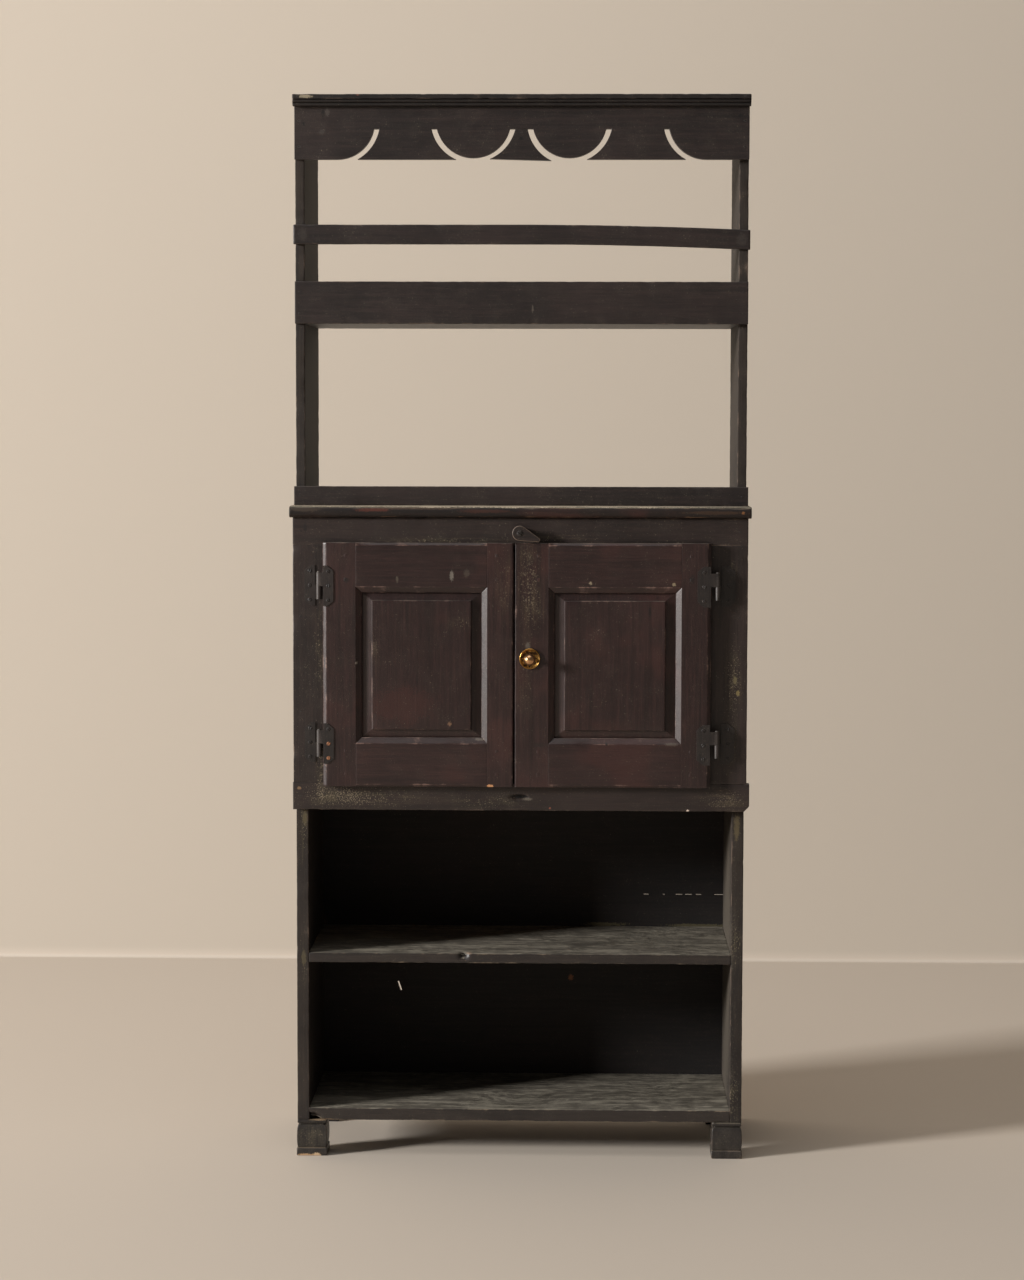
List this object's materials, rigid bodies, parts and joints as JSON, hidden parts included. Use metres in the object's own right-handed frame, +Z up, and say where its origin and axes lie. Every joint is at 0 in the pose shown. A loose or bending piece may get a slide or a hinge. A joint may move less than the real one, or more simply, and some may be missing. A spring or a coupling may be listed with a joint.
{
  "type": "step back cupboard",
  "caption": "Painted pine step back cupboard: an open plate rack with a fretted frieze over a two-door cupboard and open shelves on moulded feet.",
  "frame": {"origin": "on the floor, in the middle of the width and of the whole depth from the knob's front to the back boards", "axes": "+X to the right of someone who faces the doors, +Y towards the wall, +Z up"},
  "size_m": [0.796, 0.3778, 1.85],
  "materials": {
    "painted_pine": "old, nearly black paint, worn thin",
    "bare_pine": "unpainted, darkened with age",
    "black_iron": "painted black, rusted in places",
    "brass": "handled, half polished"
  },
  "bodies": {
    "cabinet": {"back_board_lower": "painted_pine", "back_board_middle": "painted_pine", "back_board_upper": "painted_pine", "bottom_shelf": "painted_pine", "case_side_left": "painted_pine", "case_side_right": "painted_pine", "cornice": "painted_pine", "cupboard_floor": "bare_pine", "cupboard_shelf": "bare_pine", "cut_nails": "black_iron", "deck_board": "painted_pine", "face_bottom_rail": "painted_pine", "face_stile_left": "painted_pine", "face_stile_right": "painted_pine", "face_top_rail": "painted_pine", "foot_back_left": "painted_pine", "foot_back_right": "painted_pine", "foot_front_left": "painted_pine", "foot_front_right": "painted_pine", "frame_hinge_screws": "black_iron", "frieze_board": "painted_pine", "frieze_patch": "painted_pine", "hinge_pins": "black_iron", "lower_left_hinge_frame_leaf": "black_iron", "lower_right_hinge_frame_leaf": "black_iron", "mid_shelf": "painted_pine", "plate_guard": "painted_pine", "plate_rail": "painted_pine", "rack_bottom_rail": "painted_pine", "rack_shelf": "painted_pine", "rack_side_left": "painted_pine", "rack_side_right": "painted_pine", "rack_top_board": "bare_pine", "shelf_cleats": "bare_pine", "turn_button_screw": "black_iron", "upper_left_hinge_frame_leaf": "black_iron", "upper_right_hinge_frame_leaf": "black_iron"},
    "left_door": {"left_door_bottom_rail": "painted_pine", "left_door_hinge_screws": "black_iron", "left_door_hinge_stile": "painted_pine", "left_door_lock_stile": "painted_pine", "left_door_panel": "painted_pine", "left_door_pegs": "bare_pine", "left_door_top_rail": "painted_pine", "upper_left_hinge_door_leaf": "black_iron", "lower_left_hinge_door_leaf": "black_iron"},
    "right_door": {"right_door_bottom_rail": "painted_pine", "right_door_hinge_screws": "black_iron", "right_door_hinge_stile": "painted_pine", "right_door_lock_stile": "painted_pine", "right_door_panel": "painted_pine", "right_door_pegs": "bare_pine", "right_door_top_rail": "painted_pine", "upper_right_hinge_door_leaf": "black_iron", "lower_right_hinge_door_leaf": "black_iron", "knob": "brass", "knob_rose": "brass", "knob_screw": "black_iron"},
    "turn_button": {"turn_button": "painted_pine"}
  },
  "joints": [
    {"name": "left_door_hinge", "type": "hinge", "parent": "cabinet", "child": "left_door", "pos_m": [-0.3465, -0.15255, 0.8705], "axis": [0, 0, -1], "range_deg": [0, 170]},
    {"name": "right_door_hinge", "type": "hinge", "parent": "cabinet", "child": "right_door", "pos_m": [0.3405, -0.15255, 0.8705], "axis": [0, 0, 1], "range_deg": [0, 170]},
    {"name": "button_turn", "type": "hinge", "parent": "cabinet", "child": "turn_button", "pos_m": [0, -0.15, 1.0987], "axis": [0, 1, 0], "continuous": true}
  ]
}
